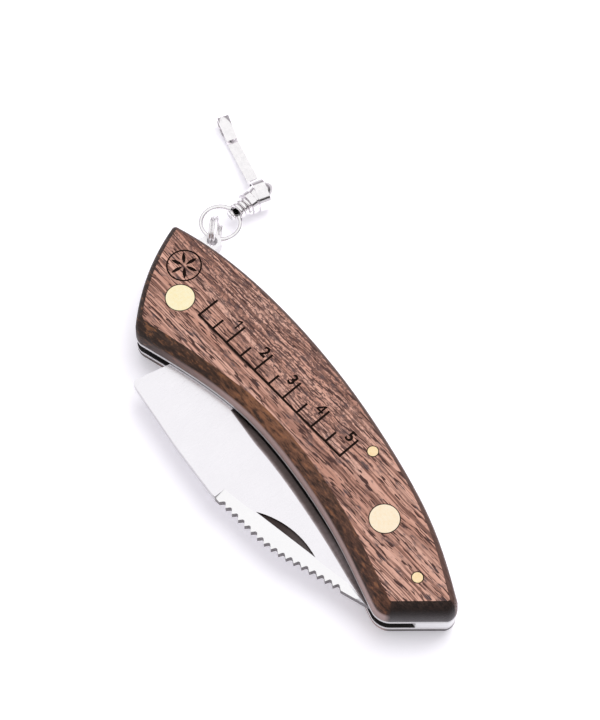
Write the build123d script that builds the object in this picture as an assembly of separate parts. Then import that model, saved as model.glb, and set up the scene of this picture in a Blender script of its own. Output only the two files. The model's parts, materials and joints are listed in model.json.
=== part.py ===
from build123d import *
import math
import os

# A folding mushroom knife that lies on its side: two wooden scales on steel liners, a fixed back
# spring with a lanyard lug, a serrated folding blade, and a split ring with a swivel clip hook.
# Millimetres. The origin is on the blade's pivot axis, on the face that the knife rests on.
# +X runs along the handle away from the pivot, +Y points to its convex back, +Z is up.

# ---------------------------------------------------------------- driving dimensions

# Stack through the handle
SCALE_T = 5.5               # one wooden scale
LINER_T = 1.0               # one liner
SLOT_H = 3.0                # space between the liners

# Handle corners, seen from above
HEAD_BACK = (-18.6, 9.7)
HEAD_FRONT = (1.6, -14.0)
END_FRONT = (92.6, -5.5)
END_BACK = (102.9, 10.2)

# Points that each side passes through between its corners
HEAD_SIDE = [(-10.0, -3.6)]
FRONT_SIDE = [(10.8, -10), (22.1, -5.7), (33, -2.8), (45, -1.4), (58, -1.2), (72, -2.2), (85, -4.3)]
BACK_SIDE = [(94.9, 13.3), (85.0, 16.6), (64.5, 20.1), (39.2, 21.2), (14.2, 19.2), (-5.6, 14.85)]

# Rounding of the four corners: how far it reaches along each side
HEAD_BACK_ROUND = 0.9
HEAD_FRONT_ROUND = 1.6
END_FRONT_ROUND = 3.0
END_BACK_ROUND = 3.0
# Share of its rounding that each corner loses up to the scale's outer face, in the same order
ROUND_LOSS = [0.3, 0.3, 0.85, 0.85]

# Bevel of a scale: how far its outer face stands in from the outline, as (share of the side's
# length, width) along each side; the sides run counter-clockwise, starting at the head
BEVEL_HEAD = [(0.0, 1.6), (1.0, 1.6)]
BEVEL_FRONT = [(0.0, 3.7), (0.12, 3.4), (0.26, 3.0), (0.38, 3.4), (0.5, 3.8), (1.0, 3.8)]
BEVEL_END = [(0.0, 3.1), (1.0, 3.1)]
BEVEL_BACK = [(0.0, 1.9), (0.25, 1.4), (0.5, 1.1), (1.0, 1.1)]
# The bevel rounds over in steps: (share of the scale's thickness, share of the bevel)
BEVEL_STEPS_WIDE = [(0.0, 0.0), (0.2, 0.0), (0.6, 0.2), (0.8, 0.47), (0.92, 0.74), (1.0, 1.0)]
BEVEL_STEPS_NARROW = [(0.0, 0.0), (0.2, 0.0), (0.6, 0.0), (0.8, 0.13), (0.92, 0.45), (1.0, 1.0)]

# Rivets and pins
PIVOT_AT = (0.0, 0.0)
REAR_RIVET_AT = (74.45, 8.73)
SPRING_PIN_MIDDLE_AT = (59.1, 16.0)
SPRING_PIN_END_AT = (90.3, 6.85)
RIVET_HEAD_R = 3.5
RIVET_HEAD_T = 2.2
RIVET_SLEEVE_R = 2.3
RIVET_CORE_R = 1.5
RIVET_CORE_SPARE = 3.0      # how far the core stops short of the sleeve's closed end
SPRING_PIN_R = 1.25

# Clearances
FIT = 0.02                  # round pieces that are pressed or peened into the handle
RUN = 0.05                  # radial, blade on its pivot
SIDE_GAP = 0.05             # blade to washer
SPRING_GAP = 0.3            # back spring to the blade's round tang
STOP_GAP = 0.15             # back spring to the blade's heel when it is open

# Blade
BLADE_T = 2.5
OPEN_ANGLE = 146.0          # swing from folded to open
TANG_R = 8.6
WASHER_R = 0.64 * TANG_R
HEEL_INNER = (10.8, -10.0)
HEEL_OUTER = (9.65, -20.2)
HEEL_ROUND = 1.1
SPINE = [(29.9, -20.35), (44.8, -19.75)]
SAW_START = (46.0, -19.6)
SAW = [(51.7, -18.5), (57.7, -17.3), (64.0, -15.7), (71.6, -12.3), (80.6, -8.1)]
TIP = (91.6, -2.9)
EDGE = [(84.0, -2.9), (72.0, -2.0), (60.0, -1.5), (48.0, -1.5), (38.0, -2.2)]
GRIND_START = (29.0, -3.3)
ROOT_TOP = [(20.0, -0.2), (12.0, 3.6)]
TANG_JOIN_ANGLE = 62.0      # where the blade's root leaves the round tang, towards the edge
NOTCH_JOIN_ANGLE = -46.0    # where it leaves the tang, towards the heel
NOTCH_AT_HEEL = (11.1, -7.6)
GRIND_W = 2.3               # width of the ground band beside the cutting edge
GRIND_START_W = 1.2         # its width where it starts, near the handle's head
GRIND_RUN_IN = 0.15         # share of the edge over which it widens
EDGE_T = 0.2                # thickness left at the cutting edge
SAW_FIRST = 1.5             # from the start of the band to the first tooth
SAW_PITCH = 2.11
SAW_DEPTH = 1.2
SAW_LEAN = 0.46             # where the deepest point lies between two teeth, as a share of the pitch
SAW_GULLET = 0.4            # share of each flank that the round of the gullet takes
SAW_FLARE = 1.5             # the cutter of a gullet reaches this many tooth depths past the edge
SAW_COUNT = 17
SAW_BAND = [(45.6, -16.6), (50.5, -15.2), (58.9, -12.3), (71.5, -8.5), (81.0, -5.5)]
SAW_EDGE_T = 2.0            # thickness left at the saw teeth
SAW_BAND_END = 0.9          # the band ends beside this share of the toothed edge
GRIND_MARGIN = 0.001        # share of the edge left at either end of the ground band
GRIND_STATIONS = 12
SAW_STATIONS = 10
CUTTER_RISE = 1.0           # how far a cutter stands above the blade's face
CUTTER_OVER = 0.5           # share of its width that a cutter reaches past the edge
NICK_ENDS = [(54.4, -13.6), (71.5, -8.3)]
NICK_RISE = 1.9
NICK_DEPTH = 0.6

# Back spring: its inner edge from the handle's end to the tang
SPRING_END_Y = 2.2
SPRING_INNER = [(90, 2), (79, 3.2), (70.5, 5), (64.5, 11.4), (52, 14.4), (34, 15.1), (17, 13.6)]
SPRING_NOSE_ANGLE = 58.0    # where the inner edge meets the tang's round
SPRING_HEEL_ANGLE = 164.0   # where it leaves the tang's round for the head end
LUG_AT = (-12.2, 16.6)
LUG_R = 2.3
LUG_BORE_R = 1.35
LUG_FOOT_W = 6.0
LUG_FOOT_SHARE = 0.945      # where the lug's foot stands along the back
HEEL_REACH = 1.06           # the spring faces the heel from here on, outwards from its inner corner
SPRING_BLANK = 12.0         # how far the spring's blank stands past the outline before it is trimmed

# Split ring, standing in the lug's bore
RING_R = 3.7
RING_WIRE_R = 0.4
RING_PITCH = 0.84
RING_TURNS = 1.9
RING_HEADING = 137.5        # degrees from +X, seen from above
RING_LEAN = 6.0

# Wire eye: loop, legs and the coil round the swivel stem
LOOP_R = 5.0
EYE_WIRE_R = 0.62
LOOP_OPEN = 38.0            # half of the loop's open angle at the stem
LINK_GAP = 0.15             # split ring to loop
LINK_TURN = 18.0            # the loop hangs this far round the ring from its lowest point, towards the lug
COIL_R = 1.75
COIL_PITCH = 1.36
COIL_TURNS = 3.0

# Swivel and clip hook
EYE_OUT_R = 4.2
STRIP_T = 0.75
STRIP_W = 3.0
CLIP_AT = (-19.5, 35.5)     # centre of the hook's rolled eye
LOOP_CENTRE = (-17.6, 22.3, 5.2)
CLIP_HEADING = 169.5
CLIP_DROOP = 9.1            # the strip falls from the eye until the bend rests on the same surface
BALL_GAP = 0.15
BALL_FAR = 4.1              # the ball's length along the stem, past the rolled eye's centre
BALL_FAR_R = 1.6
BALL_NEAR = 2.95            # and before it
BALL_NEAR_R = 2.49
SWIVEL_GAP = 0.1            # between the pieces on the stem
STEM_R = 0.9
COLLAR_R = 3.3
COLLAR_LIP = 0.9            # the collar is a cup: its lip reaches over the coil's last turn
COLLAR_LIP_T = 0.5
COLLAR_T = 0.75
STEM_HEAD_R = 1.45
STEM_HEAD_T = 0.7
HOOK_STRAIGHT = 24.0
HOOK_BEND_R = 2.1
HOOK_ARM = 6.3
HOOK_CLOSE = 29.0           # the arm leans back to the strip by this angle
CURL_SLIT = 0.35

# ---------------------------------------------------------------- worked-out levels

Z_LOWER_LINER = SCALE_T
Z_SLOT = Z_LOWER_LINER + LINER_T
Z_UPPER_LINER = Z_SLOT + SLOT_H
Z_UPPER_SCALE = Z_UPPER_LINER + LINER_T
HEIGHT = Z_UPPER_SCALE + SCALE_T
Z_MID = HEIGHT / 2
WASHER_T = (SLOT_H - BLADE_T) / 2 - SIDE_GAP

os.makedirs("parts", exist_ok=True)


def save(name, shape):
    """Writes one node."""
    shape.label = name
    export_step(shape, f"parts/{name}.step")
    print(name, "volume", round(shape.volume, 2), "valid", shape.is_valid)


def flat(point, z=0.0):
    return Vector(point[0], point[1], z)


def polar(radius, degrees, z=0.0):
    return Vector(radius * math.cos(math.radians(degrees)), radius * math.sin(math.radians(degrees)), z)


def rod(start, end, radius):
    """A round bar between two points."""
    path = Line(start, end)
    return extrude(Plane(origin=start, z_dir=path % 0) * Circle(radius), path.length)


def upright(point, radius, low, high):
    """A round bar along Z."""
    return rod(flat(point, low), flat(point, high), radius)


# ---------------------------------------------------------------- handle outline

CORNERS = [HEAD_BACK, HEAD_FRONT, END_FRONT, END_BACK]
ROUNDS = [HEAD_BACK_ROUND, HEAD_FRONT_ROUND, END_FRONT_ROUND, END_BACK_ROUND]
THROUGH = [HEAD_SIDE, FRONT_SIDE, [], BACK_SIDE]
SAMPLES = [5, 15, 3, 15]


def side_curve(index):
    """One side of the outline between its two sharp corners."""
    points = [flat(p) for p in [CORNERS[index], *THROUGH[index], CORNERS[(index + 1) % 4]]]
    if len(points) == 2:
        return Line(*points)
    if len(points) == 3:
        return ThreePointArc(*points)
    return Spline(*points)


SIDES = [side_curve(i) for i in range(4)]


def inward(curve, share):
    """Unit normal that points into the handle; the outline runs counter-clockwise."""
    along = curve % share
    return Vector(-along.Y, along.X, 0)


FULL = [0.0, 0.0, 0.0, 0.0]
BEVELS = [BEVEL_HEAD, BEVEL_FRONT, BEVEL_END, BEVEL_BACK]
WIDE = [False, True, True, False]


def bevel_width(index, share):
    """Full width of a side's bevel at a share of that side's length."""
    table = BEVELS[index]
    for (low, first), (high, second) in zip(table, table[1:]):
        if share <= high:
            return first + (second - first) * max(share - low, 0) / (high - low)
    return table[-1][1]


def mitre(index, bevelled):
    """Shift of a corner when the sides before and after it move inward by a share of their bevels."""
    before = inward(SIDES[index - 1], 1.0)
    after = inward(SIDES[index], 0.0)
    first = bevelled[index - 1] * bevel_width(index - 1, 1.0)
    second = bevelled[index] * bevel_width(index, 0.0)
    det = before.X * after.Y - before.Y * after.X
    shift_x = (first * after.Y - second * before.Y) / det
    shift_y = (before.X * second - after.X * first) / det
    return Vector(shift_x, shift_y, 0)


def rounding(index, bevelled):
    """How far the rounding of a corner reaches along its sides at this stage of the bevel."""
    return ROUNDS[index] * (1 - ROUND_LOSS[index] * bevelled[index])


def outline(bevelled, z):
    """The handle's outline as a face at height z, each side moved inward by a share of its bevel."""
    sides = []
    for i, curve in enumerate(SIDES):
        following = (i + 1) % 4
        start = mitre(i, bevelled).dot(curve % 0) + rounding(i, bevelled)
        stop = curve.length + mitre(following, bevelled).dot(curve % 1) - rounding(following, bevelled)
        points = []
        for k in range(SAMPLES[i]):
            share = (start + (stop - start) * k / (SAMPLES[i] - 1)) / curve.length
            inset = bevelled[i] * bevel_width(i, share)
            points.append((curve @ share) + inward(curve, share) * inset + Vector(0, 0, z))
        sides.append(Spline(*points) if len(THROUGH[i]) else Line(points[0], points[-1]))
    edges = []
    for i, side in enumerate(sides):
        following = sides[(i + 1) % 4]
        edges.append(side)
        edges.append(Spline(side @ 1, following @ 0, tangents=[side % 1, following % 0]))
    return make_face(Wire(edges))


def plate(low, high):
    """A flat plate of the handle's full outline."""
    return extrude(outline(FULL, low), high - low)


def bevelled_scale():
    """The upper scale without its holes."""
    sections = []
    for wide_step, narrow_step in zip(BEVEL_STEPS_WIDE, BEVEL_STEPS_NARROW):
        bevelled = [wide_step[1] if wide else narrow_step[1] for wide in WIDE]
        sections.append(outline(bevelled, Z_UPPER_SCALE + SCALE_T * wide_step[0]))
    return loft(sections, ruled=True)


def mirrored(shape):
    """The same shape on the other side of the handle's middle plane."""
    return mirror(shape, about=Plane.XY.offset(Z_MID))


def rivet_holes(low, high, radius):
    return [upright(at, radius, low, high) for at in (PIVOT_AT, REAR_RIVET_AT)]


def pin_holes(low, high):
    return [upright(at, SPRING_PIN_R + FIT, low, high) for at in (SPRING_PIN_MIDDLE_AT, SPRING_PIN_END_AT)]


def build_scales():
    scale = bevelled_scale()
    cuts = rivet_holes(Z_UPPER_SCALE, HEIGHT, RIVET_SLEEVE_R + FIT)
    cuts += rivet_holes(HEIGHT - RIVET_HEAD_T - FIT, HEIGHT, RIVET_HEAD_R + FIT)
    cuts += pin_holes(Z_UPPER_SCALE, HEIGHT)
    for cut in cuts:
        scale -= cut
    save("upper_scale", scale)
    save("lower_scale", mirrored(scale))


def build_liners():
    liner = plate(Z_UPPER_LINER, Z_UPPER_SCALE)
    for cut in rivet_holes(Z_UPPER_LINER, Z_UPPER_SCALE, RIVET_SLEEVE_R + FIT):
        liner -= cut
    for cut in pin_holes(Z_UPPER_LINER, Z_UPPER_SCALE):
        liner -= cut
    save("upper_liner", liner)
    save("lower_liner", mirrored(liner))


# ---------------------------------------------------------------- rivets, pins and washers


def build_rivet(name, at):
    """A two-part rivet: a headed sleeve from above and a headed core from below."""
    sleeve_low = RIVET_HEAD_T + FIT
    head = upright(at, RIVET_HEAD_R, HEIGHT - RIVET_HEAD_T, HEIGHT)
    core_top = HEIGHT - RIVET_HEAD_T - RIVET_CORE_SPARE
    sleeve = head + upright(at, RIVET_SLEEVE_R, sleeve_low, HEIGHT - RIVET_HEAD_T)
    sleeve -= upright(at, RIVET_CORE_R + FIT, sleeve_low, core_top + FIT)
    core = upright(at, RIVET_HEAD_R, 0, RIVET_HEAD_T) + upright(at, RIVET_CORE_R, RIVET_HEAD_T, core_top)
    save(f"{name}_sleeve", sleeve)
    save(f"{name}_core", core)


def build_pins():
    build_rivet("pivot", PIVOT_AT)
    build_rivet("rear_rivet", REAR_RIVET_AT)
    save("spring_pin_middle", upright(SPRING_PIN_MIDDLE_AT, SPRING_PIN_R, 0, HEIGHT))
    save("spring_pin_end", upright(SPRING_PIN_END_AT, SPRING_PIN_R, 0, HEIGHT))


def build_washers():
    washer = upright(PIVOT_AT, WASHER_R, Z_UPPER_LINER - WASHER_T, Z_UPPER_LINER)
    washer -= upright(PIVOT_AT, RIVET_SLEEVE_R + FIT, Z_UPPER_LINER - WASHER_T, Z_UPPER_LINER)
    save("upper_pivot_washer", washer)
    save("lower_pivot_washer", mirrored(washer))


# ---------------------------------------------------------------- back spring


def turned(point, degrees):
    """A point turned about the pivot axis."""
    return flat(point).rotate(Axis.Z, degrees)


def build_spring():
    heel_inner = turned(HEEL_INNER, -OPEN_ANGLE)
    heel_outer = turned(HEEL_OUTER, -OPEN_ANGLE)
    away = (heel_outer - heel_inner).normalized()
    clear = Vector(away.Y, -away.X, 0) * STOP_GAP
    arc_r = TANG_R + SPRING_GAP
    nose = polar(arc_r, SPRING_NOSE_ANGLE)
    crest = polar(arc_r, (SPRING_NOSE_ANGLE + SPRING_HEEL_ANGLE) / 2)
    heel = polar(arc_r, SPRING_HEEL_ANGLE)
    stop_low = heel_inner + clear + away * HEEL_REACH
    stop_high = heel_outer + clear + away * SPRING_BLANK
    end_low = Vector(END_BACK[0] + SPRING_BLANK, SPRING_END_Y, 0)
    above = Vector(0, 4 * SPRING_BLANK, 0)
    inner = Spline(Vector(END_BACK[0], SPRING_END_Y, 0), *[flat(p) for p in SPRING_INNER], nose)
    edges = [
        Line(end_low, inner @ 0),
        inner,
        ThreePointArc(nose, crest, heel),
        Line(heel, stop_low),
        Line(stop_low, stop_high),
        Line(stop_high, stop_high + above),
        Line(stop_high + above, end_low + above),
        Line(end_low + above, end_low),
    ]
    zone = extrude(make_face(Wire(edges)), SLOT_H).moved(Location((0, 0, Z_SLOT)))
    spring = plate(Z_SLOT, Z_UPPER_LINER) & zone
    foot = (SIDES[3] @ LUG_FOOT_SHARE) + inward(SIDES[3], LUG_FOOT_SHARE) * LUG_R
    lug_path = flat(LUG_AT) - foot
    foot_plane = Plane(origin=(foot + flat(LUG_AT)) / 2, x_dir=lug_path.normalized(), z_dir=(0, 0, 1))
    slope = math.degrees(math.atan2(lug_path.length, LUG_FOOT_W / 2 - LUG_R))
    web = foot_plane * Trapezoid(LUG_FOOT_W, lug_path.length, slope, slope, rotation=-90)
    lug = extrude(web, SLOT_H) + extrude(Pos(*LUG_AT) * Circle(LUG_R), SLOT_H)
    spring += lug.moved(Location((0, 0, Z_SLOT)))
    spring -= upright(LUG_AT, LUG_BORE_R, Z_SLOT, Z_UPPER_LINER)
    spring -= upright(REAR_RIVET_AT, RIVET_SLEEVE_R + FIT, Z_SLOT, Z_UPPER_LINER)
    for cut in pin_holes(Z_SLOT, Z_UPPER_LINER):
        spring -= cut
    save("back_spring", spring)


# ---------------------------------------------------------------- blade


def build_blade():
    low = Z_MID - BLADE_T / 2
    saw = Spline(*[flat(p) for p in [SAW_START, *SAW, TIP]])
    edge = Spline(*[flat(p) for p in [TIP, *EDGE, GRIND_START]])
    heel = Line(flat(HEEL_INNER), flat(HEEL_OUTER))
    tang_top = polar(TANG_R, TANG_JOIN_ANGLE)
    tang_back = polar(TANG_R, (TANG_JOIN_ANGLE + NOTCH_JOIN_ANGLE) / 2 + 180)
    tang_low = polar(TANG_R, NOTCH_JOIN_ANGLE)
    edges = [
        Line(flat(HEEL_OUTER), flat(SPINE[0])),
        Spline(flat(SPINE[0]), flat(SPINE[1])),
        Line(flat(SPINE[1]), flat(SAW_START)),
        saw,
        edge,
        Spline(flat(GRIND_START), *[flat(p) for p in ROOT_TOP], tang_top),
        ThreePointArc(tang_top, tang_back, tang_low),
        Line(tang_low, flat(NOTCH_AT_HEEL)),
        Line(flat(NOTCH_AT_HEEL), flat(HEEL_INNER)),
        heel,
    ]
    blade = extrude(make_face(Wire(edges)), BLADE_T).moved(Location((0, 0, low)))
    corner = blade.edges().filter_by(Axis.Z).sort_by_distance(flat(HEEL_OUTER, Z_MID))[0]
    blade = fillet(corner, HEEL_ROUND)
    blade -= upright(PIVOT_AT, RIVET_SLEEVE_R + RUN, low, low + BLADE_T)
    for face_sign in (1, -1):
        blade -= grind(edge, face_sign)
    blade -= saw_band(saw)
    for k in range(SAW_COUNT):
        blade -= gullet(saw, SAW_FIRST + SAW_PITCH * k).moved(Location((0, 0, low)))
    blade -= nail_nick(low + BLADE_T)
    save("blade", blade)


def wedge(lines, full_z, thin_z):
    """A cutter along pairs of points: full height at the first, cut down to thin_z at the second."""
    sections = []
    for inner, outer in lines:
        beyond = outer + (outer - inner) * CUTTER_OVER
        drop = (thin_z - full_z) * (1 + CUTTER_OVER)
        top = full_z + math.copysign(CUTTER_RISE, full_z - Z_MID)
        corners = [
            Vector(inner.X, inner.Y, full_z),
            Vector(beyond.X, beyond.Y, full_z + drop),
            Vector(beyond.X, beyond.Y, top),
            Vector(inner.X, inner.Y, top),
        ]
        sections.append(make_face(Wire(Polyline(*corners, close=True))))
    return loft(sections, ruled=True)


def gullet(saw, distance):
    """The cutter between two saw teeth: two flanks that meet in a round."""
    first = saw.position_at(distance, position_mode=PositionMode.LENGTH)
    second = saw.position_at(distance + SAW_PITCH, position_mode=PositionMode.LENGTH)
    across = (second - first).normalized().rotate(Axis.Z, 90)
    deepest = first + (second - first) * SAW_LEAN + across * SAW_DEPTH
    flank_in = deepest + (first - deepest) * SAW_GULLET
    flank_out = deepest + (second - deepest) * SAW_GULLET
    crown = (flank_in + flank_out + deepest * 2) / 4
    before = deepest + (first - deepest) * SAW_FLARE
    after = deepest + (second - deepest) * SAW_FLARE
    sides = [
        Line(before, flank_in),
        ThreePointArc(flank_in, crown, flank_out),
        Line(flank_out, after),
        Line(after, before),
    ]
    return extrude(make_face(Wire(sides)), BLADE_T)


def grind(edge, face_sign):
    """The ground band beside the cutting edge, on one face."""
    lines = []
    for k in range(GRIND_STATIONS + 1):
        share = GRIND_MARGIN + (1 - 2 * GRIND_MARGIN) * k / GRIND_STATIONS
        at = edge @ share
        along = edge % share
        outward = Vector(along.Y, -along.X, 0)
        run_in = min((1 - share) / GRIND_RUN_IN, 1)
        lines.append((at - outward * (GRIND_START_W + (GRIND_W - GRIND_START_W) * run_in), at))
    full_z = Z_MID + face_sign * BLADE_T / 2
    return wedge(lines, full_z, Z_MID + face_sign * EDGE_T / 2)


def saw_band(saw):
    """The band that thins the blade towards the saw teeth, on the upper face."""
    band = Spline(*[flat(p) for p in SAW_BAND])
    lines = []
    for k in range(SAW_STATIONS + 1):
        share = k / SAW_STATIONS
        lines.append((band @ share, saw @ (share * SAW_BAND_END)))
    full_z = Z_MID + BLADE_T / 2
    return wedge(lines, full_z, full_z - (BLADE_T - SAW_EDGE_T))


def nail_nick(top):
    """A crescent pocket for the thumbnail."""
    first = flat(NICK_ENDS[0])
    last = flat(NICK_ENDS[1])
    along = (last - first).normalized()
    rise = (first + last) / 2 + Vector(-along.Y, along.X, 0) * NICK_RISE
    crescent = make_face(Wire([ThreePointArc(first, rise, last), Line(last, first)]))
    return extrude(crescent, NICK_DEPTH).moved(Location((0, 0, top - NICK_DEPTH)))


# ---------------------------------------------------------------- split ring and wire eye

RING_OUT = polar(1, RING_HEADING)
RING_SIDE = polar(1, RING_HEADING + 90)
RING_UP = Vector(0, 0, math.cos(math.radians(RING_LEAN))) + RING_SIDE * math.sin(math.radians(RING_LEAN))
RING_CENTRE = flat(LUG_AT, Z_MID) + RING_OUT * RING_R
LINK_R = RING_R - RING_WIRE_R - LINK_GAP - EYE_WIRE_R
LINK_DOWN = RING_UP * math.cos(math.radians(LINK_TURN)) + RING_OUT * math.sin(math.radians(LINK_TURN))
LINK_AT = RING_CENTRE - LINK_DOWN * LINK_R
CLIP_CENTRE = flat(CLIP_AT, EYE_OUT_R)
LOOP_HEAD = (Vector(*LOOP_CENTRE) - LINK_AT).normalized()
LOOP_MIDDLE = LINK_AT + LOOP_HEAD * LOOP_R
STEM_LENGTH = (LOOP_MIDDLE - CLIP_CENTRE).length
STEM_WAY = (LOOP_MIDDLE - CLIP_CENTRE).normalized()
LOOP_NORMAL = STEM_WAY.cross(LOOP_HEAD).normalized()
COLLAR_START = BALL_NEAR + SWIVEL_GAP
COIL_START = COLLAR_START + COLLAR_T + SWIVEL_GAP + EYE_WIRE_R
COIL_LENGTH = COIL_PITCH * COIL_TURNS


def along_stem(distance):
    """A point on the swivel's axis, from the rolled eye's centre towards the loop."""
    return CLIP_CENTRE + STEM_WAY * distance


def build_split_ring():
    """Two turns of wire wound flat against each other."""
    height = RING_PITCH * RING_TURNS
    path = Helix(RING_PITCH, height, RING_R)
    ring = sweep(Plane(origin=path @ 0, z_dir=path % 0) * Circle(RING_WIRE_R), path=path)
    ring = ring.moved(Location((0, 0, -height / 2)))
    normal = RING_OUT.cross(RING_UP)
    save("split_ring", Plane(origin=RING_CENTRE, x_dir=RING_OUT, z_dir=normal) * ring)


def build_wire_eye():
    """A loop whose two legs run into a coil round the swivel stem."""
    frame = Plane(origin=LOOP_MIDDLE, x_dir=-STEM_WAY, z_dir=LOOP_NORMAL)
    ends = [polar(LOOP_R, side * LOOP_OPEN) for side in (1, -1)]
    arc = ThreePointArc(ends[0], Vector(-LOOP_R, 0, 0), ends[1])
    eye = sweep(Plane(origin=arc @ 0, z_dir=arc % 0) * Circle(EYE_WIRE_R), path=arc)
    coil_end = STEM_LENGTH - COIL_START - COIL_LENGTH
    for side, end in zip((1, -1), ends):
        shoulder = Vector(coil_end, side * COIL_R, 0)
        eye += rod(end, shoulder, EYE_WIRE_R)
        eye += Pos(end) * Sphere(EYE_WIRE_R)
        eye += Pos(shoulder) * Sphere(EYE_WIRE_R)
    helix = Helix(COIL_PITCH, COIL_LENGTH, COIL_R)
    coil = sweep(Plane(origin=helix @ 0, z_dir=helix % 0) * Circle(EYE_WIRE_R), path=helix)
    coil_plane = Plane(origin=(coil_end, 0, 0), x_dir=(0, 1, 0), z_dir=(1, 0, 0))
    eye += coil_plane * coil
    save("wire_eye", frame * eye)


# ---------------------------------------------------------------- swivel and clip hook

CLIP_OUT = polar(1, CLIP_HEADING)
BALL_R = EYE_OUT_R - STRIP_T - BALL_GAP


def build_swivel():
    head_from = COIL_START + COIL_LENGTH + EYE_WIRE_R + SWIVEL_GAP
    stem = rod(along_stem(-BALL_FAR - SWIVEL_GAP), along_stem(head_from), STEM_R)
    stem += rod(along_stem(head_from), along_stem(head_from + STEM_HEAD_T), STEM_HEAD_R)
    save("swivel_stem", stem)
    bore = rod(along_stem(-2 * BALL_FAR), along_stem(2 * BALL_FAR), STEM_R + FIT)
    bulge = ThreePointArc((-BALL_FAR, BALL_FAR_R), (0, BALL_R), (BALL_NEAR, BALL_NEAR_R))
    side = Polyline((BALL_NEAR, BALL_NEAR_R), (BALL_NEAR, 0), (-BALL_FAR, 0), (-BALL_FAR, BALL_FAR_R))
    ball = revolve(make_face(Wire([bulge, *side.edges()])), Axis.X)
    ball_plane = Plane(origin=CLIP_CENTRE, x_dir=STEM_WAY, z_dir=STEM_WAY.cross(Vector(0, 0, 1)))
    save("swivel_ball", ball_plane * ball - bore)
    floor_end = COLLAR_START + COLLAR_T
    collar = rod(along_stem(COLLAR_START), along_stem(floor_end + COLLAR_LIP), COLLAR_R)
    cup = rod(along_stem(floor_end), along_stem(floor_end + 2 * COLLAR_LIP), COLLAR_R - COLLAR_LIP_T)
    save("swivel_collar", collar - cup - bore)


def build_clip():
    """A flat strip: a rolled eye round the ball, a straight run and a folded hook."""
    half = STRIP_T / 2
    eye = Circle(EYE_OUT_R) - Circle(EYE_OUT_R - STRIP_T)
    slit = Pos(EYE_OUT_R, -half - CURL_SLIT / 2) * Rectangle(3 * STRIP_T, CURL_SLIT)
    run_start = Vector(EYE_OUT_R - half, 0, 0)
    run = Line(run_start, Vector(HOOK_STRAIGHT, 0, 0))
    lean = math.radians(HOOK_CLOSE)
    bend_top = run @ 1 + Vector(HOOK_BEND_R * math.sin(lean), HOOK_BEND_R * (1 + math.cos(lean)), 0)
    bend_side = run @ 1 + Vector(HOOK_BEND_R, HOOK_BEND_R, 0)
    bend = ThreePointArc(run @ 1, bend_side, bend_top)
    arm = Line(bend_top, bend_top + Vector(-math.cos(lean), -math.sin(lean), 0) * HOOK_ARM)
    strip = trace([run, bend, arm], STRIP_T)
    profile = (eye - slit) + strip
    clip = extrude(profile, STRIP_W / 2, both=True)
    clip = clip.rotate(Axis.Z, -CLIP_DROOP)
    plane = Plane(origin=CLIP_CENTRE, x_dir=CLIP_OUT, z_dir=CLIP_OUT.cross(Vector(0, 0, 1)))
    save("clip_hook", plane * clip)


build_scales()
build_liners()
build_pins()
build_washers()
build_spring()
build_blade()
build_split_ring()
build_wire_eye()
build_swivel()
build_clip()
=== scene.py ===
import json
import math

import bmesh
import bpy
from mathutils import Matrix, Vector
from mathutils.geometry import tessellate_polygon

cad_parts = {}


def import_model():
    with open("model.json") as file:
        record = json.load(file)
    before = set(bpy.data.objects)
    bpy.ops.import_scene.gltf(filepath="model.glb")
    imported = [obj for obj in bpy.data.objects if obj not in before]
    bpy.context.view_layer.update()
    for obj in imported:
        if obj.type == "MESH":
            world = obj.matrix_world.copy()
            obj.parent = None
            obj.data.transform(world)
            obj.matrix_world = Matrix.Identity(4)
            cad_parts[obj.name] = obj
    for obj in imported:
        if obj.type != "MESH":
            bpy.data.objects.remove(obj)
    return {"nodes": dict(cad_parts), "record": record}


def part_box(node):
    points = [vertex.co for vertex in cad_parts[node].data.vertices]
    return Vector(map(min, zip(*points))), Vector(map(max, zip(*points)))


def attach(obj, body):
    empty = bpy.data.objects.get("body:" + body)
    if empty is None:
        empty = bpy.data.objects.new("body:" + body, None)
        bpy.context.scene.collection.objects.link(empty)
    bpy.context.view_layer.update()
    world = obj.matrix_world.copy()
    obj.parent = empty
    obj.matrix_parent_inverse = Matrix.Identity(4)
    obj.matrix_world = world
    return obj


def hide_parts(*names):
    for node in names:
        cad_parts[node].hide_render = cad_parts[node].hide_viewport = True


# A folding mushroom knife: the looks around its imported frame. Metres, in the row's frame.

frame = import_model()
nodes = frame["nodes"]
MM = 0.001


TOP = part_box("upper_scale")[1].z

# ---------------------------------------------------------------- material helpers


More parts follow.
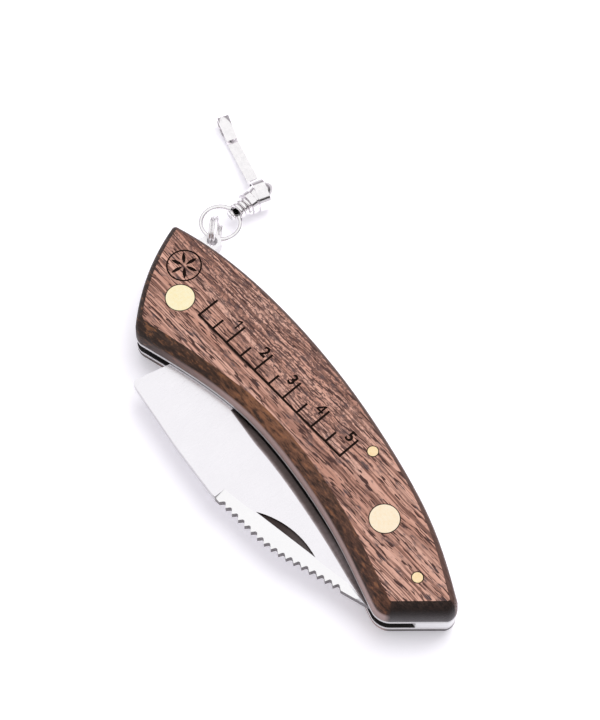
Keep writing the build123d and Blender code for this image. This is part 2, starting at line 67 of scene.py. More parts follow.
class Shader:
    """A material's node tree, with short calls for the nodes that the finishes use."""

    def __init__(self, name):
        self.material = bpy.data.materials.new(name)
        self.material.use_nodes = True
        self.tree = self.material.node_tree
        self.bsdf = self.tree.nodes["Principled BSDF"]
        self.object_mm = self.vector(self.add("ShaderNodeTexCoord").outputs["Object"], (1000, 1000, 1000))

    def add(self, kind, **settings):
        node = self.tree.nodes.new(kind)
        for key, value in settings.items():
            setattr(node, key, value)
        return node

    def link(self, source, target):
        self.tree.links.new(source, target)

    def put(self, value, target):
        if isinstance(value, bpy.types.NodeSocket):
            self.link(value, target)
        else:
            target.default_value = value

    def vector(self, source, factors, turn=0.0):
        """source turned about Z by an angle in degrees, then stretched."""
        if turn:
            rotate = self.add("ShaderNodeVectorRotate", rotation_type="Z_AXIS")
            self.link(source, rotate.inputs["Vector"])
            rotate.inputs["Angle"].default_value = math.radians(turn)
            source = rotate.outputs["Vector"]
        node = self.add("ShaderNodeVectorMath", operation="MULTIPLY")
        self.link(source, node.inputs[0])
        node.inputs[1].default_value = factors
        return node.outputs["Vector"]

    def noise(self, vector, scale=1.0, detail=2.0, rough=0.5, distortion=0.0):
        node = self.add("ShaderNodeTexNoise")
        self.link(vector, node.inputs["Vector"])
        node.inputs["Scale"].default_value = scale
        node.inputs["Detail"].default_value = detail
        node.inputs["Roughness"].default_value = rough
        node.inputs["Distortion"].default_value = distortion
        return node.outputs["Fac"]

    def ramp(self, source, stops):
        """stops are (position, value or colour)."""
        node = self.add("ShaderNodeValToRGB")
        self.link(source, node.inputs["Fac"])
        elements = node.color_ramp.elements
        while len(elements) > 1:
            elements.remove(elements[0])
        for k, (position, value) in enumerate(stops):
            element = elements[0] if k == 0 else elements.new(position)
            element.position = position
            colour = value if isinstance(value, tuple) else (value, value, value)
            element.color = (*colour, 1)
        return node.outputs["Color"]

    def mix(self, factor, first, second):
        """first where factor is 0, second where it is 1."""
        node = self.add("ShaderNodeMix", data_type="RGBA")
        self.put(factor, node.inputs["Factor"])
        for value, socket in ((first, node.inputs[6]), (second, node.inputs[7])):
            self.put((*value, 1) if isinstance(value, tuple) else value, socket)
        return node.outputs[2]

    def math(self, operation, first, second=0.0):
        node = self.add("ShaderNodeMath", operation=operation)
        self.put(first, node.inputs[0])
        self.put(second, node.inputs[1])
        return node.outputs[0]

    def step(self, source, low, high):
        """0 below low, 1 above high."""
        node = self.add("ShaderNodeMapRange")
        self.link(source, node.inputs["Value"])
        node.inputs["From Min"].default_value = low
        node.inputs["From Max"].default_value = high
        return node.outputs["Result"]

    def split(self, source):
        node = self.add("ShaderNodeSeparateXYZ")
        self.link(source, node.inputs[0])
        return node.outputs

    def bump(self, height, strength, distance):
        node = self.add("ShaderNodeBump")
        node.inputs["Strength"].default_value = strength
        node.inputs["Distance"].default_value = distance
        self.link(height, node.inputs["Height"])
        self.link(node.outputs["Normal"], self.bsdf.inputs["Normal"])

    def set(self, **values):
        """Sets the named values of the finish; a tuple is a colour."""
        names = {
            "color": "Base Color", "rough": "Roughness", "metal": "Metallic", "spec": "Specular IOR Level",
        }
        for key, value in values.items():
            socket = self.bsdf.inputs[names[key]]
            self.put((*value, 1) if isinstance(value, tuple) else value, socket)


# ---------------------------------------------------------------- finishes

GRAIN_TURN = -8.0           # degrees from the row's X axis to the wood's grain
SWAY = 2.2                  # millimetres that the grain wanders sideways
SWAY_STRETCH = (0.045, 0.11, 0.11)      # a stretch is along the grain, across it and up
WOOD_DEEP = (0.44, 0.225, 0.165)
WOOD_MIDDLE = (0.56, 0.31, 0.235)
WOOD_PALE = (0.62, 0.365, 0.285)
WOOD_LINE = (0.15, 0.07, 0.052)
WOOD_PORE = (0.06, 0.027, 0.022)
WOOD_FLECK = (0.09, 0.048, 0.043)
WOOD_BLOT = (0.06, 0.045, 0.05)
# Painted reflection: the paler rim of the bevel beside the liner.
RIM_REFLECTION = (0.5, 0.36, 0.34)
BAND_STRETCH = (0.03, 0.45, 0.45)
BAND_TONES = [(0.36, WOOD_DEEP), (0.5, WOOD_MIDDLE), (0.64, WOOD_PALE)]
GRAIN_LAYERS = {            # for each layer: stretch, detail, roughness and ramp
    "broad": ((0.03, 0.8, 0.8), 2.0, 0.55, [(0.5, 0.0), (0.6, 0.35)]),
    "lines": ((0.035, 2.3, 2.3), 1.0, 0.5, [(0.5, 0.0), (0.56, 0.9)]),
    "cloud": ((0.08, 0.3, 0.3), 2.0, 0.5, [(0.36, 0.5), (0.54, 1.0)]),
    "dashes": ((0.3, 2.6, 2.6), 1.0, 0.5, [(0.57, 0.0), (0.61, 1.0)]),
    "blot": ((0.3, 0.5, 0.5), 2.0, 0.6, [(0.54, 0.0), (0.66, 0.8)]),
    "broken": ((0.5, 2.2, 2.2), 1.0, 0.5, [(0.4, 0.25), (0.6, 1.0)]),
}
FLECK_STRETCH = (0.8, 2.0, 2.0)
FLECK_RAMP = [(0.5, 0.0), (0.56, 0.8)]
FLECKS_X = (66.0, 44.0)     # the flecks fade in between these along X, and between the next two across Y
FLECKS_Y = (3.0, 9.0)
# The masks below choose where the painted side tones replace the face's tone, by the way each surface faces
# and how far it stands from the liner.
SIDE_FACING = [(0.5, 1.0), (0.93, 0.95), (0.985, 0.0)]   # by the Z of the normal
END_FACING = [(0.6, 0.0), (0.8, 1.0)]                    # by the X of the normal's level part
BACK_FACING = [(0.25, 0.0), (0.5, 1.0)]                  # by its Y
MOTTLE_STRETCH = (0.3, 1.1, 1.1)
RIM_REACH = (0.0, 5.0)      # millimetres out from the liner for the rim's painted reflection, as are the two pairs of heights below
RIM_BAND = [(0.0, 0.55), (0.3, 0.85), (0.45, 0.9), (0.62, 0.0)]
RIM_ALONG = [(0.2, 0.08), (0.38, 1.0)]
# Near-black and warmer patches at random over the painted shade of the front bevel.
BEVEL_DARK_PATCHES = (0.014, 0.007, 0.004)
BEVEL_WARM = (0.34, 0.14, 0.06)
BEVEL_SHADE_TONES = [             # painted shade on the front bevel, from the head to the far end
    (0.04, (0.03, 0.02, 0.018)), (0.2, (0.03, 0.017, 0.012)), (0.32, (0.065, 0.028, 0.014)),
    (0.42, (0.2, 0.085, 0.042)), (0.56, (0.17, 0.075, 0.043)), (0.66, (0.11, 0.05, 0.03)),
    (0.8, (0.07, 0.032, 0.022)), (0.93, (0.1, 0.038, 0.02)),
]
# Painted shade and painted reflection on the end walls.
END_SHADE_TONES = [(0.0, (0.1, 0.09, 0.095)), (0.45, (0.035, 0.028, 0.028)), (0.7, (0.008, 0.004, 0.003))]
# Painted highlight on the back wall and painted shade on the back bevel.
BACK_WALL_HIGHLIGHT = (0.32, 0.25, 0.24)
BACK_BEVEL_SHADE = (0.085, 0.045, 0.035)
BACK_LINE = (0.07, 0.035, 0.028)
HANDLE_RUN = (-20.0, 105.0)  # from the head to the far end, in millimetres along X
END_HEIGHTS = (0.6, 5.6)
BACK_HEIGHTS = (3.4, 5.0)
# Char of the laser-cut lines, also used as painted shade in the seats round the brass heads.
CHAR_AND_SEAT_SHADE_TONES = [(0.35, (0.006, 0.003, 0.002)), (0.7, (0.014, 0.007, 0.005))]
BLADE_LOW, BLADE_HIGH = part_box("blade")
STACK_MIDDLE = (BLADE_LOW.z + BLADE_HIGH.z) / 2 / MM
SLOT_HALF = (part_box("upper_scale")[0].z / MM) - STACK_MIDDLE
LUG_FROM = 10.5             # beyond this across the handle the liners' flat sides are the ring's lug
LUG_FADE = 1.5              # and over this width the painted shade fades out
FLAT_SIDE = (0.85, 0.95)    # a side counts as flat more and more as the Z of its normal passes these
# Painted shade on the liners' and the spring's flat sides inside the slot.
SLOT_SHADE = (0.03, 0.026, 0.026)
EDGE_OUT = (0.1, 1.25)      # the ground band's two rims, in millimetres from the blade's middle plane
EDGE_TURN = (62.0, 74.0)    # the ground band's painted shade turns from darker to lighter between these along X
# Painted shade and painted highlight across the ground band, from the cutting edge to its inner rim.
EDGE_SHADE_BEFORE_TURN = [
    (0.0, (0.26, 0.21, 0.2)), (0.25, (0.2, 0.165, 0.155)), (0.6, (0.16, 0.12, 0.115)),
    (0.8, (0.3, 0.25, 0.25)), (1.0, (0.7, 0.64, 0.65)),
]
EDGE_SHADE_AFTER_TURN = [
    (0.0, (0.14, 0.11, 0.11)), (0.2, (0.42, 0.36, 0.36)), (0.45, (0.4, 0.33, 0.33)),
    (0.75, (0.26, 0.21, 0.21)), (1.0, (0.66, 0.6, 0.61)),
]
EDGE_STAIN = (0.07, 0.05, 0.045)
STEEL_GRIT = (0.02, 0.016, 0.016)
NICKEL_LIGHT = (0.97, 0.95, 0.96)
NICKEL_DARK = (0.8, 0.78, 0.8)


def wood():
    """Oiled open-grain reddish-brown wood; the grain runs along the handle."""
    s = Shader("oiled_wood")
    grain = s.vector(s.object_mm, (1, 1, 1), GRAIN_TURN)
    sway = s.add("ShaderNodeCombineXYZ")
    warp = s.noise(s.vector(grain, SWAY_STRETCH), detail=3.0, rough=0.55)
    s.link(s.math("MULTIPLY", warp, SWAY), sway.inputs["Y"])
    bent = s.add("ShaderNodeVectorMath", operation="ADD")
    s.link(grain, bent.inputs[0])
    s.link(sway.outputs[0], bent.inputs[1])
    fibre = bent.outputs["Vector"]

    def layer(name):
        stretch, detail, rough, stops = GRAIN_LAYERS[name]
        return s.ramp(s.noise(s.vector(fibre, stretch), detail=detail, rough=rough), stops)

    bands = s.noise(s.vector(fibre, BAND_STRETCH), detail=3.0, rough=0.6)
    base = s.ramp(bands, BAND_TONES)
    base = s.mix(layer("broad"), base, WOOD_LINE)
    lines = layer("lines")
    base = s.mix(s.math("MULTIPLY", lines, layer("cloud")), base, WOOD_LINE)
    dashes = layer("dashes")
    base = s.mix(dashes, base, WOOD_PORE)

    # Soft blue-black blotches, broken up by the grain.
    base = s.mix(s.math("MULTIPLY", layer("blot"), layer("broken")), base, WOOD_BLOT)

    # Interlocked grain: short wavy flecks over the middle of the back half.
    place = s.split(s.object_mm)
    waves = s.noise(s.vector(grain, FLECK_STRETCH), detail=1.0, rough=0.5, distortion=1.0)
    where = s.math("MULTIPLY", s.step(place["Y"], *FLECKS_Y), s.step(place["X"], *FLECKS_X))
    base = s.mix(s.math("MULTIPLY", s.ramp(waves, FLECK_RAMP), where), base, WOOD_FLECK)

    base = with_shaded_bevels(s, base, fibre, s.math("MAXIMUM", lines, dashes))
    s.set(color=base, rough=s.ramp(bands, [(0.3, 0.52), (0.7, 0.42)]), spec=0.22)
    s.bump(s.math("MULTIPLY", s.math("ADD", dashes, lines), -1.0), 0.4, 0.00006)
    return s.material


def with_shaded_bevels(s, face, fibre, strokes):
    """The tone of the faces, with long grain on the bevels and the walls, and painted light on them: painted
    shade on the front bevel, the end walls and the back bevel, a painted highlight low on the back wall and a
    paler painted reflection in a rim beside the liner.
    """
    surface = s.add("ShaderNodeNewGeometry").outputs["Normal"]
    level = s.add("ShaderNodeVectorMath", operation="NORMALIZE")
    s.link(s.vector(surface, (1, 1, 0)), level.inputs[0])
    heading = s.split(level.outputs["Vector"])
    place = s.split(s.object_mm)
    run = s.step(place["X"], *HANDLE_RUN)
    height = s.math("SUBTRACT", s.math("ABSOLUTE", s.math("SUBTRACT", place["Z"], STACK_MIDDLE)), SLOT_HALF)

    # Painted shade on the front bevel, which faces away from the light: dark tones along it, with near-black
    # and warmer patches at random.
    front = s.ramp(run, BEVEL_SHADE_TONES)
    mottle = s.noise(s.vector(fibre, MOTTLE_STRETCH), detail=4.0, rough=0.7)
    front = s.mix(s.ramp(mottle, [(0.38, 0.9), (0.54, 0.0)]), front, BEVEL_DARK_PATCHES)
    front = s.mix(s.ramp(mottle, [(0.54, 0.0), (0.68, 0.6)]), front, BEVEL_WARM)
    # A paler painted reflection in a rim beside the liner, faint at the head.
    rim = s.ramp(s.step(height, *RIM_REACH), RIM_BAND)
    front = s.mix(s.math("MULTIPLY", rim, s.ramp(run, RIM_ALONG)), front, RIM_REFLECTION)

    # Painted shade and reflection on the end walls: greyer near the liner, near black towards the top face.
    end = s.ramp(s.step(height, *END_HEIGHTS), END_SHADE_TONES)
    # Painted highlight on the back wall near the liner and painted shade on the back bevel above it, with the
    # grain's strokes over both.
    back = s.mix(s.step(height, *BACK_HEIGHTS), BACK_WALL_HIGHLIGHT, BACK_BEVEL_SHADE)
    back = s.mix(s.math("MULTIPLY", strokes, 0.75), back, BACK_LINE)
    side = s.mix(s.ramp(heading["X"], END_FACING), front, end)
    side = s.mix(s.ramp(heading["Y"], BACK_FACING), side, back)
    return s.mix(s.ramp(s.math("ABSOLUTE", s.split(surface)["Z"]), SIDE_FACING), face, side)


def burned_and_seat_shade():
    """Charred bottom of a laser-cut line, also used as painted shade on the floor of the seat round each
    brass head.
    """
    s = Shader("burned_wood_and_seat_shade")
    soot = s.noise(s.object_mm, scale=3.0, detail=3.0, rough=0.6)
    s.set(color=s.ramp(soot, CHAR_AND_SEAT_SHADE_TONES), rough=0.8, spec=0.1)
    return s.material


def satin(name, light, dark, rough, lines, turn, shine=1.0, inside_shade=None):
    """Steel rubbed along one direction.

    lines stretches the scratches and turn gives their direction in degrees. shine is how metallic the steel
    looks, and inside_shade is painted shade on the flat sides that face into the handle.
    """
    s = Shader(name)
    scratch = s.noise(s.vector(s.object_mm, lines, turn), detail=4.0, rough=0.7)
    cloud = s.noise(s.object_mm, scale=0.12)
    tone = s.mix(s.ramp(scratch, [(0.35, 0.35), (0.65, 0.0)]), light, dark)
    tone = s.mix(s.ramp(cloud, [(0.35, 0.18), (0.65, 0.0)]), tone, dark)
    # Painted shade on the flat sides that face into the handle, fading out on the lug.
    if inside_shade:
        normal = s.split(s.add("ShaderNodeNewGeometry").outputs["Normal"])
        flat = s.step(s.math("ABSOLUTE", normal["Z"]), *FLAT_SIDE)
        off_lug = s.step(s.split(s.object_mm)["Y"], LUG_FROM + LUG_FADE, LUG_FROM)
        tone = s.mix(s.math("MULTIPLY", flat, off_lug), tone, inside_shade)
    s.set(color=tone, metal=shine, rough=s.ramp(scratch, [(0.3, rough + 0.06), (0.7, rough - 0.05)]))
    s.bump(scratch, 0.1, 0.00001)
    return s.material


def ground_edge():
    """The band beside the cutting edge: painted shade and painted highlight across it, darker before
    EDGE_TURN than beyond it.
    """
    s = Shader("ground_edge")
    place = s.split(s.object_mm)
    out = s.step(s.math("ABSOLUTE", s.math("SUBTRACT", place["Z"], STACK_MIDDLE)), *EDGE_OUT)
    tone = s.mix(s.step(place["X"], *EDGE_TURN), s.ramp(out, EDGE_SHADE_BEFORE_TURN), s.ramp(out, EDGE_SHADE_AFTER_TURN))
    mark = s.noise(s.vector(s.object_mm, (1.6, 0.5, 0.5)), detail=3.0, rough=0.7)
    tone = s.mix(s.ramp(mark, [(0.35, 0.3), (0.65, 0.0)]), tone, EDGE_STAIN)
    s.set(color=tone, metal=0.25, rough=0.42, spec=0.3)
    return s.material


def shaded_steel(name, near, far, start, stop):
    """Steel painted dark as shade, turning from the near tone to the far one between start and stop along X.
    """
    s = Shader(name)
    grit = s.noise(s.object_mm, scale=1.6, detail=4.0, rough=0.7)
    tone = s.mix(s.step(s.split(s.object_mm)["X"], start, stop), near, far)
    tone = s.mix(s.ramp(grit, [(0.35, 0.35), (0.65, 0.0)]), tone, STEEL_GRIT)
    s.set(color=tone, metal=0.2, rough=0.5, spec=0.25)
    return s.material


def turned_brass(name, light, dark):
    """Brass faced flat, with soft clouding and short rubbing marks."""
    s = Shader(name)
    cloud = s.noise(s.object_mm, scale=1.4, detail=4.0, rough=0.65)
    fine = s.noise(s.vector(s.object_mm, (5, 9, 5), 30.0), detail=3.0, rough=0.7)
    tone = s.mix(s.ramp(cloud, [(0.35, 0.7), (0.6, 0.0)]), light, dark)
    s.set(color=tone, metal=1.0, rough=s.ramp(fine, [(0.3, 0.36), (0.7, 0.26)]))
    s.bump(fine, 0.12, 0.00002)
    return s.material


def nickel(name, rough):
    """Bright plating with soft clouding and hairline wear."""
    s = Shader(name)
    cloud = s.noise(s.object_mm, scale=0.7, detail=3.0, rough=0.6)
    hair = s.noise(s.vector(s.object_mm, (1.2, 14, 14), 20.0), detail=3.0, rough=0.7)
    tone = s.mix(s.ramp(cloud, [(0.35, 0.4), (0.65, 0.0)]), NICKEL_LIGHT, NICKEL_DARK)
    s.set(color=tone, metal=1.0, rough=s.ramp(hair, [(0.3, rough + 0.06), (0.7, rough)]))
    s.bump(cloud, 0.12, 0.00006)
    return s.material


WOOD = wood()
BURNED_AND_SEAT_SHADE = burned_and_seat_shade()
RUBBED = (0.4, 11, 11)      # how fine the scratches are along and across the rubbing
BLADE = satin("blade_satin", (0.95, 0.93, 0.965), (0.84, 0.82, 0.86), rough=0.25, lines=RUBBED, turn=86.0)
SAW_GROUND = satin("saw_ground", (0.98, 0.97, 0.98), (0.9, 0.89, 0.91), rough=0.3, lines=RUBBED, turn=60.0)
EDGE_GROUND = ground_edge()
SPINE_WALL = satin("spine_wall", (0.75, 0.73, 0.75), (0.5, 0.48, 0.5),
                   rough=0.4, lines=(0.3, 9, 9), turn=0.0, shine=0.4)
# Painted shade on the saw teeth's walls and in the nail nick.
TOOTH_WALL = shaded_steel("tooth_wall", (0.3, 0.28, 0.29), (0.24, 0.22, 0.23), 46.0, 80.0)
NICK = shaded_steel("nick_floor", (0.04, 0.026, 0.024), (0.12, 0.1, 0.1), 60.0, 72.0)
LINER = satin("liner_steel", (0.72, 0.7, 0.71), (0.5, 0.48, 0.49),
              rough=0.45, lines=(0.3, 9, 3), turn=8.0, shine=0.35, inside_shade=SLOT_SHADE)
SPRING = satin("spring_steel", (0.9, 0.89, 0.9), (0.7, 0.69, 0.7),
               rough=0.4, lines=(0.3, 8, 4), turn=4.0, shine=0.35, inside_shade=SLOT_SHADE)
PIVOT_BRASS = turned_brass("pivot_brass", (1.0, 0.91, 0.64), (0.99, 0.84, 0.48))
BRASS = turned_brass("rivet_brass", (1.0, 0.87, 0.68), (0.98, 0.8, 0.55))
PIN_BRASS = turned_brass("pin_brass", (1.0, 0.8, 0.5), (0.95, 0.7, 0.38))
WASHER = turned_brass("washer_brass", (0.78, 0.58, 0.28), (0.6, 0.42, 0.2))
RING = nickel("ring_nickel", rough=0.07)
CLIP = nickel("clip_nickel", rough=0.1)

FINISH = {
    "upper_scale": WOOD, "lower_scale": WOOD,
    "upper_liner": LINER, "lower_liner": LINER, "back_spring": SPRING,
    "pivot_sleeve": PIVOT_BRASS, "pivot_core": PIVOT_BRASS,
    "rear_rivet_sleeve": BRASS, "rear_rivet_core": BRASS,
    "spring_pin_middle": PIN_BRASS, "spring_pin_end": PIN_BRASS,
    "upper_pivot_washer": WASHER, "lower_pivot_washer": WASHER,
    "blade": BLADE,
    "split_ring": RING, "wire_eye": RING,
    "swivel_stem": CLIP, "swivel_collar": CLIP, "swivel_ball": CLIP, "clip_hook": CLIP,
}
for name, material in FINISH.items():
    node = nodes[name]
    if not node.material_slots:
        node.data.materials.append(material)
    for place in node.material_slots:
        place.material = material

# ---------------------------------------------------------------- rule and rosette, cut into the upper scale

WELD = 2e-7                 # metres; corners closer than this become one
SCALE_SMOOTH = 32.0         # degrees; a sharper bend between two faces stays an edge
BLADE_SMOOTH = 20.0
CHAIN_SMOOTH = 38.0
FLAT = 0.9999               # the Z of a flat face's normal is above this
GROUND = 0.5                # the Z of a ground bevel's normal is above this
STEEP = 0.3                 # the Z of the nick's end walls' normals is below this
NICK_DEEP = 0.65            # all lengths from here on in millimetres; the nick is less deep than this
NICK_LIP = 0.05             # faces nearer the blade's top than this aren't the nick's
SAW_FROM = 46.0             # the saw teeth start here
LINE_W = 0.58               # width of the rule's strokes
CUT_DEPTH = 0.22
RULE_START = Vector((6.5, 1.3))
RULE_END = Vector((55.8, 8.9))
ALONG = (RULE_END - RULE_START).normalized()
ACROSS = Vector((-ALONG.y, ALONG.x))
TICKS = 10
LONG_TICK = 5.95
SHORT_TICK = 3.44
DIGIT_H = 2.7
DIGIT_BOLD = 0.12           # the font's strokes are widened by this on each side
CAPITAL = 0.7               # a digit's height as a share of the font's size
DIGIT_AT = {"1": (14.1, 7.8), "2": (23.7, 9.0), "3": (33.5, 10.5), "4": (43.5, 12.0), "5": (53.2, 13.7)}
STRAIGHT_FIGURES = {
    "1": [[(0.24, -1.35), (0.24, 1.35), (-0.16, 1.35), (-0.85, 0.86), (-0.85, 0.36), (-0.16, 0.82),
           (-0.16, -1.35)]],
    "4": [[(0.2, -1.35), (0.68, -1.35), (0.68, -0.76), (1.08, -0.76), (1.08, -0.3), (0.68, -0.3),
           (0.68, 1.35), (0.2, 1.35), (-1.08, -0.3), (-1.08, -0.76), (0.2, -0.76)],
          [(-0.46, -0.3), (0.2, 0.68), (0.2, -0.3)]],
}
ROSETTE_AT = Vector((-7.0, 5.5))
ROSETTE_R = 3.7
ROSETTE_LINE = 0.4
ROSETTE_GAP = 0.5
PETAL_FROM = 0.14           # the petals' inner tips, their length and their width, as shares of the radius
PETAL_LENGTH = 0.84
PETAL_WIDTH = 0.9
PETAL_STEPS = 9
SEAT_W = 0.22               # width of the seat cut round each brass head, whose dark floor is painted shade of the gap


def prism(bm, *loops):
    """An upright prism through the top face, in millimetres: an outline and then the holes in it, if any."""
    rows = []
    for height in (TOP - CUT_DEPTH * MM, TOP + CUT_DEPTH * MM):
        rows.append([[bm.verts.new((p[0] * MM, p[1] * MM, height)) for p in loop] for loop in loops])
    for low, high in zip(*rows):
        for k in range(len(low)):
            bm.faces.new((low[k - 1], low[k], high[k], high[k - 1]))
    triangles = tessellate_polygon([[Vector((p[0], p[1], 0)) for p in loop] for loop in loops])
    for row in rows:
        corners = [vert for loop in row for vert in loop]
        for triangle in triangles:
            bm.faces.new([corners[k] for k in triangle])


def rule_outline():
    """The rule as one comb-shaped outline: baseline and ticks."""
    length = (RULE_END - RULE_START).length
    half = LINE_W / 2
    points = [RULE_START - ALONG * half - ACROSS * half, RULE_END + ALONG * half - ACROSS * half]
    for k in range(TICKS, -1, -1):
        tall = SHORT_TICK if k % 2 else LONG_TICK
        foot = RULE_START + ALONG * (length * k / TICKS)
        right = foot + ALONG * half
        left = foot - ALONG * half
        if k < TICKS:
            points.append(right + ACROSS * half)
        points.append(right + ACROSS * tall)
        points.append(left + ACROSS * tall)
        if k > 0:
            points.append(left + ACROSS * half)
    return points


def rosette_outlines():
    """Six pointed petals drawn with one compass opening."""
    outlines = []
    for petal in range(6):
        heading = math.radians(60 * petal + 30)
        way = Vector((math.cos(heading), math.sin(heading)))
        side = Vector((-way.y, way.x))
        right, left = [], []
        for k in range(PETAL_STEPS + 1):
            share = k / PETAL_STEPS
            width = ROSETTE_R * (math.sqrt(1 - (0.5 * (2 * share - 1)) ** 2) - math.sqrt(0.75))
            spine = ROSETTE_AT + way * (PETAL_FROM + share * PETAL_LENGTH) * ROSETTE_R
            right.append(spine + side * width * PETAL_WIDTH)
            left.append(spine - side * width * PETAL_WIDTH)
        outlines.append(right + list(reversed(left[1:-1])))
    return outlines


def circle(centre, radius, count=64):
    turns = [2 * math.pi * k / count for k in range(count)]
    return [centre + Vector((math.cos(turn), math.sin(turn))) * radius for turn in turns]


def seat_rings(bm):
    """The narrow seat round each brass head that shows in the upper scale; its floor takes the charred tone
    as painted shade of the gap round the head.
    """
    for name in ("pivot_sleeve", "rear_rivet_sleeve", "spring_pin_middle", "spring_pin_end"):
        low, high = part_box(name)
        centre = Vector(((low.x + high.x) / 2 / MM, (low.y + high.y) / 2 / MM))
        radius = (high.x - low.x) / 2 / MM
        prism(bm, circle(centre, radius + SEAT_W), circle(centre, radius - SEAT_W))


def figure(bm, at, *loops):
    """A figure of straight strokes, along and across the rule from its own middle."""
    prism(bm, *[[Vector(at) + ALONG * u + ACROSS * v for u, v in loop] for loop in loops])


def digit_mesh(text, at):
    """A digit as an upright solid through the top face."""
    curve = bpy.data.curves.new("digit_" + text, "FONT")
    curve.body = text
    curve.size = DIGIT_H * MM / CAPITAL
    curve.align_x = "CENTER"
    curve.align_y = "CENTER"
    curve.extrude = CUT_DEPTH * MM
    curve.offset = DIGIT_BOLD * MM
    curve.resolution_u = 6
    digit = bpy.data.objects.new("digit_" + text, curve)
    bpy.context.scene.collection.objects.link(digit)
    digit.location = (at[0] * MM, at[1] * MM, TOP)
    digit.rotation_euler = (0, 0, math.atan2(ALONG.y, ALONG.x))
    bpy.context.view_layer.update()
    mesh = bpy.data.meshes.new_from_object(digit.evaluated_get(bpy.context.evaluated_depsgraph_get()))
    mesh.transform(digit.matrix_world)
    bpy.data.objects.remove(digit)
    return mesh


def new_piece(bm, name, material):
    """An object of its own from a bmesh, which is freed."""
    mesh = bpy.data.meshes.new(name)
    bm.to_mesh(mesh)
    bm.free()
    mesh.materials.append(material)
    piece = bpy.data.objects.new(name, mesh)
    bpy.context.scene.collection.objects.link(piece)
    return piece


def engraving_cutter():
    """Everything that the upper scale is engraved with, as one cutter."""
    bm = bmesh.new()
    prism(bm, rule_outline())
    for outline in rosette_outlines():
        prism(bm, outline)
    ring = ROSETTE_R + ROSETTE_GAP
    prism(bm, circle(ROSETTE_AT, ring + ROSETTE_LINE / 2), circle(ROSETTE_AT, ring - ROSETTE_LINE / 2))
    seat_rings(bm)
    for text, at in DIGIT_AT.items():
        if text in STRAIGHT_FIGURES:
            figure(bm, at, *STRAIGHT_FIGURES[text])
        else:
            bm.from_mesh(digit_mesh(text, at))
    bmesh.ops.remove_doubles(bm, verts=bm.verts, dist=WELD)
    bmesh.ops.triangulate(bm, faces=bm.faces, ngon_method="EAR_CLIP")
    bmesh.ops.recalc_face_normals(bm, faces=bm.faces)
    return new_piece(bm, "cutter", BURNED_AND_SEAT_SHADE)


def smooth_copy(name, new_name, material, angle):
    """A welded, smooth-shaded copy of a CAD node, so that its facets read as one rounded surface."""
    bm = bmesh.new()
    bm.from_mesh(nodes[name].data)
    bmesh.ops.remove_doubles(bm, verts=bm.verts, dist=WELD)
    bmesh.ops.recalc_face_normals(bm, faces=bm.faces)
    piece = new_piece(bm, new_name, material)
    set_smooth(piece, angle)
    return piece


def set_smooth(piece, angle):
    """Rounded shading, with an edge at each bend sharper than the angle and round each flat face."""
    mesh = piece.data
    mesh.polygons.foreach_set("use_smooth", [True] * len(mesh.polygons))
    mesh.set_sharp_from_angle(angle=math.radians(angle))
    bm = bmesh.new()
    bm.from_mesh(mesh)
    for edge in bm.edges:
        flats = [abs(face.normal.z) > FLAT for face in edge.link_faces]
        if any(flats) and not all(flats):
            edge.smooth = False
    bm.to_mesh(mesh)
    bm.free()


def apply_modifiers(piece):
    """Turns the piece's mesh into what its modifiers make of it."""
    graph = bpy.context.evaluated_depsgraph_get()
    mesh = bpy.data.meshes.new_from_object(piece.evaluated_get(graph))
    piece.modifiers.clear()
    piece.data = mesh


def engraved_scale():
    """The upper scale with the rule, the figures, the rosette and the seats cut into it."""
    scale = smooth_copy("upper_scale", "engraved_scale", WOOD, SCALE_SMOOTH)
    cutter = engraving_cutter()
    cut = scale.modifiers.new("cut", "BOOLEAN")
    cut.operation = "DIFFERENCE"
    cut.object = cutter
    cut.solver = "EXACT"
    cut.use_self = True
    cut.material_mode = "TRANSFER"
    bpy.context.view_layer.update()
    apply_modifiers(scale)
    bpy.data.objects.remove(cutter)
    set_smooth(scale, SCALE_SMOOTH)
    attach(scale, "handle")
    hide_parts("upper_scale")


def ground_blade():
    """The blade, with a finish of its own on each ground surface; those of the edge band, the tooth walls and
    the nick carry painted shade.
    """
    piece = smooth_copy("blade", "ground_blade", BLADE, BLADE_SMOOTH)
    mesh = piece.data
    finishes = [BLADE, SAW_GROUND, EDGE_GROUND, SPINE_WALL, TOOTH_WALL, NICK]
    for material in finishes[1:]:
        mesh.materials.append(material)
    for face in mesh.polygons:
        tilt = abs(face.normal.z)
        lowest = min(mesh.vertices[k].co.z for k in face.vertices)
        in_nick = lowest > BLADE_HIGH.z - NICK_DEEP * MM and face.center.z < BLADE_HIGH.z - NICK_LIP * MM
        if in_nick and (tilt > FLAT or tilt < STEEP):
            finish = NICK
        elif tilt > FLAT:
            finish = BLADE
        elif tilt > GROUND:
            finish = SAW_GROUND if face.normal.y < 0 else EDGE_GROUND
        else:
            finish = TOOTH_WALL if face.center.x > SAW_FROM * MM else SPINE_WALL
        face.material_index = finishes.index(finish)
    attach(piece, "blade")
    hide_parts("blade")


def smooth_chain():
    """The ring, eye, swivel and hook with rounded shading."""
    for body, names in frame["record"]["behaviour"]["bodies"].items():
        for name in names:
            if FINISH[name] in (RING, CLIP):
                piece = smooth_copy(name, "round_" + name, FINISH[name], CHAIN_SMOOTH)
                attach(piece, body)
                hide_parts(name)


engraved_scale()
ground_blade()
smooth_chain()
under_scale = smooth_copy("lower_scale", "under_scale", WOOD, SCALE_SMOOTH)
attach(under_scale, "handle")
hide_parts("lower_scale")

# ---------------------------------------------------------------- stage, light and camera

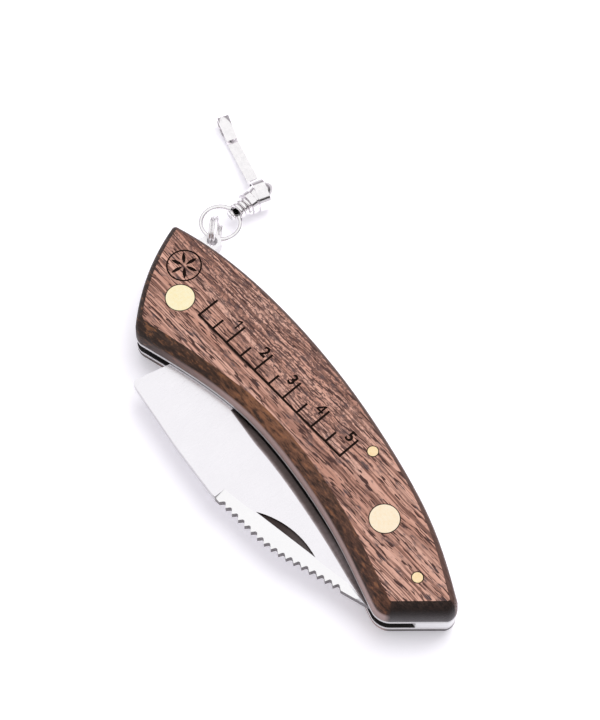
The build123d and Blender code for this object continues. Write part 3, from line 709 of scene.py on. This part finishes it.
AIM = Vector((0.03, 0.015, 0.008))      # the middle of the knife, where the light points
FLOOR_SIZE = 6
FLOOR_Z = 0.0001            # a hair above the knife's underside, so that a view from below shows that
FLOOR_TONE = (0.84, 0.83, 0.86)
FLOOR_GLOW = 0.3
GLOW_TONE = (0.97, 0.95, 1.0)
WORLD_DIFFUSE = 0.77        # the strength of the world as light, beside 1 as it is seen
FAR_WHITE = (0.88, 0.87, 0.9)
TENT = (1, 1, 1)
WALLS = (0.72, 0.7, 0.73)
HORIZON_GREY = (0.36, 0.33, 0.36)
HORIZON_DARK = (0.035, 0.03, 0.032)
WALL_TOP = (0.26, 0.34)     # heights, as the Z of a direction, at which the walls turn to the seam
TENT_FROM = (0.5, 0.58)     # and the seam to the tent
SEAM_TURN = (-0.2, 0.2)     # the X of a direction between which the seam turns from grey to dark
CAMERA_AT = (0.2047, -0.1007, 0.4436)
CAMERA_AIM = Vector((0.030, 0.0149, 0.016))


def floor():
    """The white ground, which glows a little where it is seen or mirrored."""
    bpy.ops.mesh.primitive_plane_add(size=FLOOR_SIZE, location=(0, 0, FLOOR_Z))
    plane = bpy.context.object
    plane.name = "floor"
    s = Shader("floor_white")
    s.set(color=FLOOR_TONE, rough=0.9, spec=0.1)
    path = s.add("ShaderNodeLightPath")
    seen = s.math("MAXIMUM", path.outputs["Is Camera Ray"], path.outputs["Is Glossy Ray"])
    glow = s.add("ShaderNodeEmission")
    glow.inputs["Color"].default_value = (*GLOW_TONE, 1)
    s.link(s.math("MULTIPLY", seen, FLOOR_GLOW), glow.inputs["Strength"])
    total = s.add("ShaderNodeAddShader")
    s.link(s.bsdf.outputs[0], total.inputs[0])
    s.link(glow.outputs[0], total.inputs[1])
    s.link(total.outputs[0], s.tree.nodes["Material Output"].inputs["Surface"])
    plane.data.materials.append(s.material)


def world():
    """White all round, but gloss mirrors pale walls, a white tent and the seam between the two."""
    scene_world = bpy.data.worlds.new("tent")
    bpy.context.scene.world = scene_world
    scene_world.use_nodes = True
    tree = scene_world.node_tree
    background = tree.nodes["Background"]
    coord = tree.nodes.new("ShaderNodeTexCoord")
    split = tree.nodes.new("ShaderNodeSeparateXYZ")
    tree.links.new(coord.outputs["Generated"], split.inputs[0])

    def share(source, low, high):
        """0 below low, 1 above high."""
        node = tree.nodes.new("ShaderNodeMapRange")
        tree.links.new(source, node.inputs["Value"])
        node.inputs["From Min"].default_value = low
        node.inputs["From Max"].default_value = high
        return node.outputs["Result"]

    def blend(factor, first, second):
        node = tree.nodes.new("ShaderNodeMix")
        node.data_type = "RGBA"
        tree.links.new(factor, node.inputs["Factor"])
        for value, socket in ((first, node.inputs[6]), (second, node.inputs[7])):
            if isinstance(value, tuple):
                socket.default_value = (*value, 1)
            else:
                tree.links.new(value, socket)
        return node.outputs[2]

    seam = blend(share(split.outputs["X"], *SEAM_TURN), HORIZON_GREY, HORIZON_DARK)
    walls = blend(share(split.outputs["Z"], *WALL_TOP), WALLS, seam)
    tent = blend(share(split.outputs["Z"], *TENT_FROM), walls, TENT)
    path = tree.nodes.new("ShaderNodeLightPath")
    tree.links.new(blend(path.outputs["Is Glossy Ray"], FAR_WHITE, tent), background.inputs["Color"])
    strength = tree.nodes.new("ShaderNodeMapRange")
    tree.links.new(path.outputs["Is Diffuse Ray"], strength.inputs["Value"])
    strength.inputs["To Min"].default_value = 1.0
    strength.inputs["To Max"].default_value = WORLD_DIFFUSE
    tree.links.new(strength.outputs["Result"], background.inputs["Strength"])


def area_light(name, heading, elevation, distance, size, power):
    """A square softbox aimed at the middle of the knife; the angles are in degrees."""
    light = bpy.data.lights.new(name, "AREA")
    light.shape = "SQUARE"
    light.size = size
    light.energy = power
    lamp = bpy.data.objects.new(name, light)
    bpy.context.scene.collection.objects.link(lamp)
    way = Vector((
        math.cos(math.radians(elevation)) * math.cos(math.radians(heading)),
        math.cos(math.radians(elevation)) * math.sin(math.radians(heading)),
        math.sin(math.radians(elevation)),
    ))
    lamp.location = AIM + way * distance
    lamp.rotation_euler = (-way).to_track_quat("-Z", "Y").to_euler()
    lamp.visible_glossy = False


floor()
world()
area_light("key", heading=105, elevation=66, distance=0.7, size=0.6, power=3.6)

camera_data = bpy.data.cameras.new("camera")
camera_data.lens = 100
camera_data.sensor_width = 36
camera_data.clip_start = 0.01
camera = bpy.data.objects.new("camera", camera_data)
bpy.context.scene.collection.objects.link(camera)
camera.location = CAMERA_AT
camera.rotation_euler = (CAMERA_AIM - camera.location).to_track_quat("-Z", "Y").to_euler()
bpy.context.scene.camera = camera
bpy.context.scene.view_settings.view_transform = "Standard"

bpy.context.view_layer.update()
